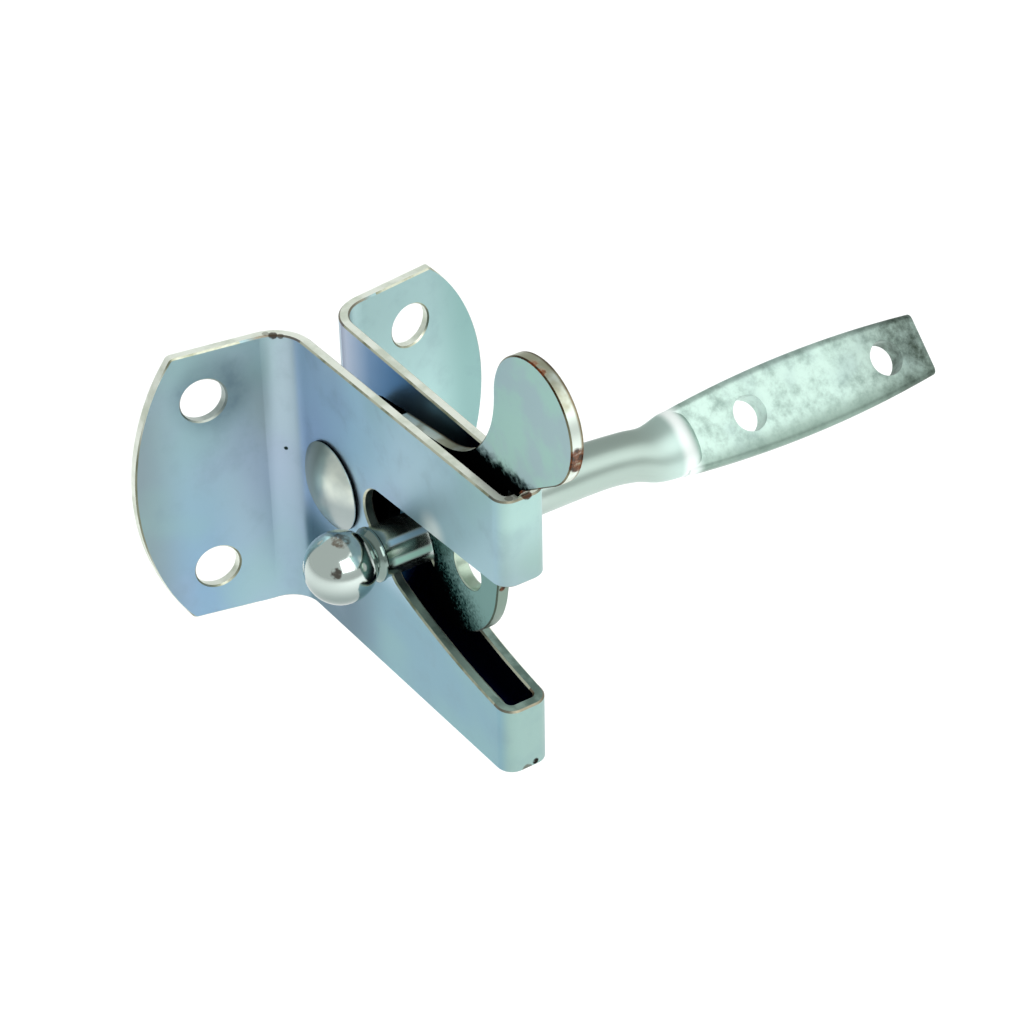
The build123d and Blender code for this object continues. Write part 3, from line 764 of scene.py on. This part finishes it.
# %% [markdown]
# ### Rust on the pawl
# Rust starts on the broken edges, where the zinc is thinnest, and creeps on to the faces. So each place is
# a soft ball again, at full strength on the rim with its edges and weaker on the faces, and the grain
# makes it ragged. Two browns, fresh and crusted, keep it from looking like paint.

# %% Pawl: rust
rust_places = [
    ((85.6, -0.4, 43.6), 3.0), ((85.2, 0.4, 41.6), 1.6), ((75.0, -1.2, 56.0), 1.6),
    ((77.3, -1.2, 55.7), 1.4), ((63.8, -0.3, 5.4), 0.8), ((71.8, -1.1, 29.8), 1.5),
    ((76.6, -0.6, 34.0), 1.6),
]
rust = None
for centre, radius in rust_places:
    near = soft_ball(tree, here, centre, 1.15 * radius, 0.4 * radius)
    rust = near if rust is None else add_node(
        tree, "ShaderNodeMath", {"operation": "MAXIMUM"}, {0: rust, 1: near}
    )
on_edge = add_node(tree, "ShaderNodeMapRange", None, {"Value": broken, "To Min": 0.35, "To Max": 1.0})
rim_rust = add_node(tree, "ShaderNodeMath", {"operation": "MULTIPLY"}, {0: rust, 1: on_edge})
ragged = add_node(
    tree, "ShaderNodeMath", {"operation": "MULTIPLY", "use_clamp": True}, {0: rim_rust, 1: grain}
)
rusty = add_node(
    tree, "ShaderNodeMapRange", SOFT, {"Value": ragged, "From Min": 0.2, "From Max": 0.48, "To Max": 0.92}
)
crusted = add_node(tree, "ShaderNodeMapRange", SOFT, {"Value": grain, "From Min": 0.45, "From Max": 0.6})
rust_tint = add_node(tree, "ShaderNodeMix", COLOUR, {0: crusted, 6: "#6E3818", 7: "#2E1307"}, 2)
base = add_node(tree, "ShaderNodeMix", COLOUR, {0: rusty, 6: base, 7: rust_tint}, 2)
tree.links.new(base, shader.inputs["Base Color"])
edge_mirror = add_node(tree, "ShaderNodeMix", COLOUR, {0: rusty, 6: edge_mirror, 7: "#201008"}, 2)
tree.links.new(edge_mirror, shader.inputs["Specular Tint"])
bare = add_node(tree, "ShaderNodeMapRange", None, {"Value": rusty, "To Min": 1.0, "To Max": 0.0})
tree.links.new(bare, shader.inputs["Metallic"])
rough = add_node(tree, "ShaderNodeMapRange", None, {"Value": rusty, "To Min": 0.36, "To Max": 0.8})
tree.links.new(rough, shader.inputs["Roughness"])
print("rust places on the pawl", len(rust_places))

# %% [markdown]
# ## The rivet and the spacer rings
# A rivet head is pressed by a smooth die, which leaves it brighter and creamier than the sheet round it.
# Its rear is painted greyer as a painted reflection of the flange and the bend, its lower part greyer as
# painted shade, and the start of the rim under the head is painted nearly black as the shadow in the seam.
# The spacer rings are turned and sit in the dark of the channel, so they are painted one near-black grey
# as painted shade.

# %% Rivet and spacer materials
SHADOW_UNDER_HEAD = 5.82 * MM
rivet_zinc, tree, shader, place = start_material("bright_zinc_on_pressed_rivet", 1.0, 0.3)
here = place.outputs["Object"]
at_x, at_y, at_z = [
    add_node(tree, "ShaderNodeSeparateXYZ", None, {0: here}, axis) for axis in range(3)
]
cloud = add_node(tree, "ShaderNodeTexNoise", None, {"Vector": here, "Scale": 1 / (5 * MM), "Detail": 3.0})
soft = add_node(tree, "ShaderNodeMapRange", SOFT, {"Value": cloud, "From Min": 0.4, "From Max": 0.65})
cream = add_node(tree, "ShaderNodeMix", COLOUR, {0: soft, 6: "#EDF5EA", 7: "#D6E0D8"}, 2)
# Painted shade: the lower part of the head is greyer
low_part = add_node(
    tree, "ShaderNodeMapRange", SOFT, {"Value": at_z, "From Min": 5.5 * MM, "From Max": 1 * MM}
)
cream = add_node(tree, "ShaderNodeMix", COLOUR, {0: low_part, 6: cream, 7: "#A2ADAC"}, 2)
# Painted reflection: the rear of the head is greyer, mirroring the flange and the bend
front_part = add_node(
    tree, "ShaderNodeMapRange", SOFT, {"Value": at_x, "From Min": 15.5 * MM, "From Max": 19.5 * MM}
)
base = add_node(tree, "ShaderNodeMix", COLOUR, {0: front_part, 6: "#A6AA9E", 7: cream}, 2)
side_y = add_node(tree, "ShaderNodeMath", {"operation": "ABSOLUTE"}, {0: at_y})
# Painted shadow: the rim under the head goes nearly black, and so does its edge tint
under_rim = add_node(tree, "ShaderNodeMath", {"operation": "LESS_THAN"}, {0: side_y, 1: SHADOW_UNDER_HEAD})
base = add_node(tree, "ShaderNodeMix", COLOUR, {0: under_rim, 6: base, 7: "#080B0D"}, 2)
tree.links.new(base, shader.inputs["Base Color"])
edge_mirror = add_node(tree, "ShaderNodeMix", COLOUR, {0: under_rim, 6: "#FFFFFF", 7: "#000000"}, 2)
tree.links.new(edge_mirror, shader.inputs["Specular Tint"])

# Painted shade: the spacers are near black because they sit in the dark of the channel
spacer_zinc, tree, shader, place = start_material("zinc_spacer_in_painted_shade", 1.0, 0.5)
shader.inputs["Base Color"].default_value = linear("#1A1E20")
shader.inputs["Specular Tint"].default_value = linear("#202428")
print("rivet and spacer finishes ready")

# %% [markdown]
# ## The striker's finish
# One piece of steel, but three looks along it: the ball has a high polish and is plated glossy, the bar
# is drawn and a little softer, and the leaf was forged hot, so its zinc is matte and mottled grey-green
# with scale under it. The finish follows the distance along the bar. The ball and the bar beside it are
# painted lighter on top and darker below as painted light and shade, the neck and the collar are painted
# darker as the shade of the groove, and two brown patches on the ball are painted reflections of dark
# things in the room.

# %% Striker material
striker_zinc, tree, shader, place = start_material("bright_zinc_on_forged_bar", 1.0, 0.15)
here = place.outputs["Object"]
at_x, at_y, at_z = [
    add_node(tree, "ShaderNodeSeparateXYZ", None, {0: here}, axis) for axis in range(3)
]
drawn = add_node(
    tree, "ShaderNodeMapRange", SOFT, {"Value": at_y, "From Min": 12 * MM, "From Max": 30 * MM}
)
# Painted light and shade: the ball and the bar beside it are lighter on top and darker below
on_top = add_node(
    tree, "ShaderNodeMapRange", SOFT, {"Value": at_z, "From Min": -3 * MM, "From Max": 2.2 * MM}
)
lit_top_shaded_low = add_node(tree, "ShaderNodeMix", COLOUR, {0: on_top, 6: "#8A9794", 7: "#D2DED9"}, 2)
plain = add_node(tree, "ShaderNodeMix", COLOUR, {0: drawn, 6: lit_top_shaded_low, 7: "#B0C1B9"}, 2)
swelling = add_node(
    tree, "ShaderNodeMapRange", SOFT, {"Value": at_y, "From Min": 44 * MM, "From Max": 56 * MM}
)
plain = add_node(tree, "ShaderNodeMix", COLOUR, {0: swelling, 6: plain, 7: "#CAE2DB"}, 2)
forged = add_node(
    tree, "ShaderNodeMapRange", SOFT, {"Value": at_y, "From Min": 55 * MM, "From Max": 58 * MM}
)
mottle = add_node(
    tree, "ShaderNodeTexNoise", None,
    {"Vector": here, "Scale": 1 / (4 * MM), "Detail": 7.0, "Roughness": 0.7},
)
scale_grey = add_node(
    tree, "ShaderNodeMapRange", SOFT, {"Value": mottle, "From Min": 0.38, "From Max": 0.75}
)
leaf_tint = add_node(tree, "ShaderNodeMix", COLOUR, {0: scale_grey, 6: "#CDE6DC", 7: "#97AFA6"}, 2)
broad = add_node(
    tree, "ShaderNodeTexNoise", None,
    {"Vector": here, "Scale": 1 / (15 * MM), "Detail": 3.0, "Roughness": 0.6},
)
patchy = add_node(
    tree, "ShaderNodeMapRange", SOFT, {"Value": broad, "From Min": 0.5, "From Max": 0.7, "To Max": 0.4}
)
leaf_tint = add_node(tree, "ShaderNodeMix", COLOUR, {0: patchy, 6: leaf_tint, 7: "#A9C0BF"}, 2)
across = add_node(tree, "ShaderNodeMath", {"operation": "SUBTRACT"}, {0: at_x, 1: at_z})
lower_edge = add_node(
    tree, "ShaderNodeMapRange", SOFT,
    {"Value": across, "From Min": 43.5 * MM, "From Max": 49.5 * MM, "To Max": 0.75},
)
leaf_tint = add_node(tree, "ShaderNodeMix", COLOUR, {0: lower_edge, 6: leaf_tint, 7: "#788E82"}, 2)
cropped = add_node(
    tree, "ShaderNodeMapRange", SOFT,
    {"Value": at_y, "From Min": 89 * MM, "From Max": 113 * MM, "To Max": 1.5},
)
dusty = add_node(tree, "ShaderNodeMath", {"operation": "MULTIPLY"}, {0: cropped, 1: mottle})
leaf_tint = add_node(tree, "ShaderNodeMix", COLOUR, {0: dusty, 6: leaf_tint, 7: "#39443A"}, 2)
base = add_node(tree, "ShaderNodeMix", COLOUR, {0: forged, 6: plain, 7: leaf_tint}, 2)
# Painted shade: the neck and the collar are darker, the shade of the groove
neck_shade = add_node(
    tree, "ShaderNodeMapRange", SOFT, {"Value": at_y, "From Min": -12.5 * MM, "From Max": -10.5 * MM}
)
past_collar = add_node(
    tree, "ShaderNodeMapRange", SOFT, {"Value": at_y, "From Min": -8.5 * MM, "From Max": -7 * MM}
)
at_collar = add_node(tree, "ShaderNodeMath", {"operation": "SUBTRACT"}, {0: neck_shade, 1: past_collar})
base = add_node(tree, "ShaderNodeMix", COLOUR, {0: at_collar, 6: base, 7: "#84958F"}, 2)
speck = add_node(
    tree, "ShaderNodeTexNoise", None,
    {"Vector": here, "Scale": 1 / (1.3 * MM), "Detail": 3.0, "Roughness": 0.6},
)
# Painted reflections: two brown patches on the ball mirror dark things in the room
ball_painted_reflections = [((37.6, -15.9, 6.5), 3.2, 0.75, "#6E553C"), ((41.3, -19.2, 3.0), 1.9, 0.85, "#3E2A1A")]
for centre, radius, strength, colour in ball_painted_reflections:
    near = soft_ball(tree, here, centre, radius, 0.3 * radius)
    ragged = add_node(
        tree, "ShaderNodeMath", {"operation": "MULTIPLY", "use_clamp": True}, {0: near, 1: speck}
    )
    reflected_dark = add_node(
        tree, "ShaderNodeMapRange", SOFT,
        {"Value": ragged, "From Min": 0.3, "From Max": 0.55, "To Max": strength},
    )
    base = add_node(tree, "ShaderNodeMix", COLOUR, {0: reflected_dark, 6: base, 7: colour}, 2)
print("ball, bar and leaf tinted, with", len(ball_painted_reflections), "stains")

# %% [markdown]
# ### Painted highlights along the bar and the shoulder
# Two pale streaks, one green and one blue, are painted along the bar beside the ball as painted
# highlights, and the crest round the shoulder is painted nearly white as a painted highlight. They are
# made less of a mirror than the rest, and the gloss falls from the ball to the leaf.

# %% Striker: painted streaks, painted crest and gloss
# Painted highlight: the crest round the shoulder is nearly white
rising = add_node(
    tree, "ShaderNodeMapRange", SOFT, {"Value": at_y, "From Min": 52.5 * MM, "From Max": 54.5 * MM}
)
ridge_highlight = add_node(
    tree, "ShaderNodeMath", {"operation": "SUBTRACT", "use_clamp": True}, {0: rising, 1: forged}
)
base = add_node(tree, "ShaderNodeMix", COLOUR, {0: ridge_highlight, 6: base, 7: "#F2F9F6"}, 2)
dull = add_node(tree, "ShaderNodeMath", {"operation": "MULTIPLY"}, {0: ridge_highlight, 1: 0.45})
in_front = add_node(tree, "ShaderNodeMath", {"operation": "GREATER_THAN"}, {0: at_x, 1: 38.5 * MM})
fading = add_node(
    tree, "ShaderNodeMapRange", SOFT, {"Value": at_y, "From Min": 3 * MM, "From Max": -1 * MM}
)
beside_ball = add_node(tree, "ShaderNodeMath", {"operation": "MULTIPLY"}, {0: past_collar, 1: fading})
beside_ball = add_node(tree, "ShaderNodeMath", {"operation": "MULTIPLY"}, {0: beside_ball, 1: in_front})
# Painted highlights: a green and a blue streak along the bar beside the ball
for height, half_width, strength, colour in ((0.5, 1.1, 0.95, "#A8D8CA"), (3.6, 0.6, 0.8, "#86BAD8")):
    off = add_node(tree, "ShaderNodeMath", {"operation": "SUBTRACT"}, {0: at_z, 1: height * MM})
    off = add_node(tree, "ShaderNodeMath", {"operation": "ABSOLUTE"}, {0: off})
    painted_streak = add_node(
        tree, "ShaderNodeMapRange", SOFT,
        {"Value": off, "From Min": half_width * MM, "From Max": 0.3 * half_width * MM, "To Max": strength},
    )
    painted_streak = add_node(tree, "ShaderNodeMath", {"operation": "MULTIPLY"}, {0: painted_streak, 1: beside_ball})
    base = add_node(tree, "ShaderNodeMix", COLOUR, {0: painted_streak, 6: base, 7: colour}, 2)
    dull = add_node(tree, "ShaderNodeMath", {"operation": "MAXIMUM"}, {0: dull, 1: painted_streak})
tree.links.new(base, shader.inputs["Base Color"])
mirroring = add_node(tree, "ShaderNodeMath", {"operation": "SUBTRACT"}, {0: 1.0, 1: dull})
tree.links.new(mirroring, shader.inputs["Metallic"])
softer = add_node(
    tree, "ShaderNodeMapRange", None,
    {"Value": at_y, "From Min": -7 * MM, "From Max": 62 * MM, "To Min": 0.2, "To Max": 0.46},
)
gloss = add_node(tree, "ShaderNodeMix", None, {0: past_collar, 2: 0.13, 3: softer})
tree.links.new(gloss, shader.inputs["Roughness"])
print("striker nodes", len(tree.nodes))

# %% [markdown]
# ## Each piece gets its finish
# Whatever material a piece arrives with is cleared, and its finish takes the place.

# %% Give each piece its finish
finishes = {
    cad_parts["latch_body"]: body_zinc,
    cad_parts["pawl"]: pawl_zinc,
    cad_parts["near_spacer"]: spacer_zinc,
    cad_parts["far_spacer"]: spacer_zinc,
    rivet: rivet_zinc,
    striker: striker_zinc,
}
for piece, finish in finishes.items():
    piece.data.materials.clear()
    piece.data.materials.append(finish)
print("finished", len(finishes), "pieces")

# %% [markdown]
# ## The studio
# Polished metal has hardly any colour of its own: it shows the room. The camera looks down, so every
# upright plate mirrors the floor, and a bright pale floor gives the plates their even tone. The box
# overhead is for that floor: it is hidden from mirrors, or it would burn out the ball and the bar.
# A window to the right of the camera puts the one highlight on the ball, and a wide pale screen further
# right is what the leaf and the top of the bar mirror.

# %% Floor
FLOOR_SIZE = 6.0
FLOOR_DROP = 0.16
FLOOR_MIDDLE = 0.04
bpy.ops.object.select_all(action="DESELECT")
bpy.ops.mesh.primitive_plane_add(
    size=FLOOR_SIZE, location=(FLOOR_MIDDLE, FLOOR_MIDDLE, cad_low[2] - FLOOR_DROP)
)
floor = bpy.context.object
floor.name = "studio_floor"
pale, tree, shader, place = start_material("white_paper_floor", 0.0, 0.9)
shader.inputs["Base Color"].default_value = linear("#FFFFFF")
floor.data.materials.append(pale)
print("floor", FLOOR_DROP, "m below the latch")

# %% Lights
focus = Vector((40 * MM, 20 * MM, 0))


def soft_box(name, direction, distance, size, power):
    """A square area light that looks at the latch from a direction."""
    light = bpy.data.lights.new(name, "AREA")
    light.size = size
    light.energy = power
    lamp = bpy.data.objects.new(name, light)
    facing = Vector(direction).to_track_quat("Z", "Y").to_matrix().to_4x4()
    lamp.matrix_world = Matrix.Translation(focus + Vector(direction).normalized() * distance) @ facing
    bpy.context.scene.collection.objects.link(lamp)
    return lamp


overhead = soft_box("overhead_box", (-0.2, 0.3, 1.0), 1.4, 1.6, 14.5)
overhead.visible_glossy = False
soft_box("window_box", (0.79, -0.08, 0.6), 1.0, 0.68, 3.6)
soft_box("side_screen", (0.6, 0.5, 0.64), 1.2, 1.0, 2.6)
print("lights", len(bpy.data.lights))

world = bpy.data.worlds.new("studio_room")
bpy.context.scene.world = world
world.use_nodes = True
world.node_tree.nodes["Background"].inputs["Color"].default_value = linear("#F2F6F4")
world.node_tree.nodes["Background"].inputs["Strength"].default_value = 0.6

# %% [markdown]
# ## The camera
# The picture was taken from well above and to the front, with a long lens. The camera is placed by its
# turn and height round the latch, its distance and its small roll. The three aim values then slide it,
# so that the latch sits in the frame as it does in the picture, which is 1024 pixels wide.

# %% Camera
TURN = math.radians(56.563)
HEIGHT = math.radians(35.364)
ROLL = math.radians(-1.160)
DISTANCE = 544.53 * MM
AIM_RIGHT = 34.830 * MM
AIM_UP = -11.063 * MM
AIM_FORWARD = 4.04 * MM
SENSOR_WIDTH = 36
FRAME_PIXELS = 1024
FOCAL_PIXELS = 3000
towards = Vector((
    math.sin(TURN) * math.cos(HEIGHT), -math.cos(TURN) * math.cos(HEIGHT), math.sin(HEIGHT)
))
level = Vector((math.cos(TURN), math.sin(TURN), 0))
above = towards.cross(level)
right = math.cos(ROLL) * level + math.sin(ROLL) * above
up = math.cos(ROLL) * above - math.sin(ROLL) * level
camera_data = bpy.data.cameras.new("photo_camera")
camera_data.sensor_width = SENSOR_WIDTH
camera_data.lens = FOCAL_PIXELS / FRAME_PIXELS * SENSOR_WIDTH
camera_data.clip_start = 0.01
camera = bpy.data.objects.new("photo_camera", camera_data)
spot = right * AIM_RIGHT + up * AIM_UP + towards * DISTANCE + Vector((AIM_FORWARD, 0, 0))
camera.matrix_world = Matrix.Translation(spot) @ Matrix((right, up, towards)).transposed().to_4x4()
bpy.context.scene.collection.objects.link(camera)
bpy.context.scene.camera = camera
bpy.context.scene.view_settings.view_transform = "Standard"
print("camera at", [round(part, 3) for part in spot])
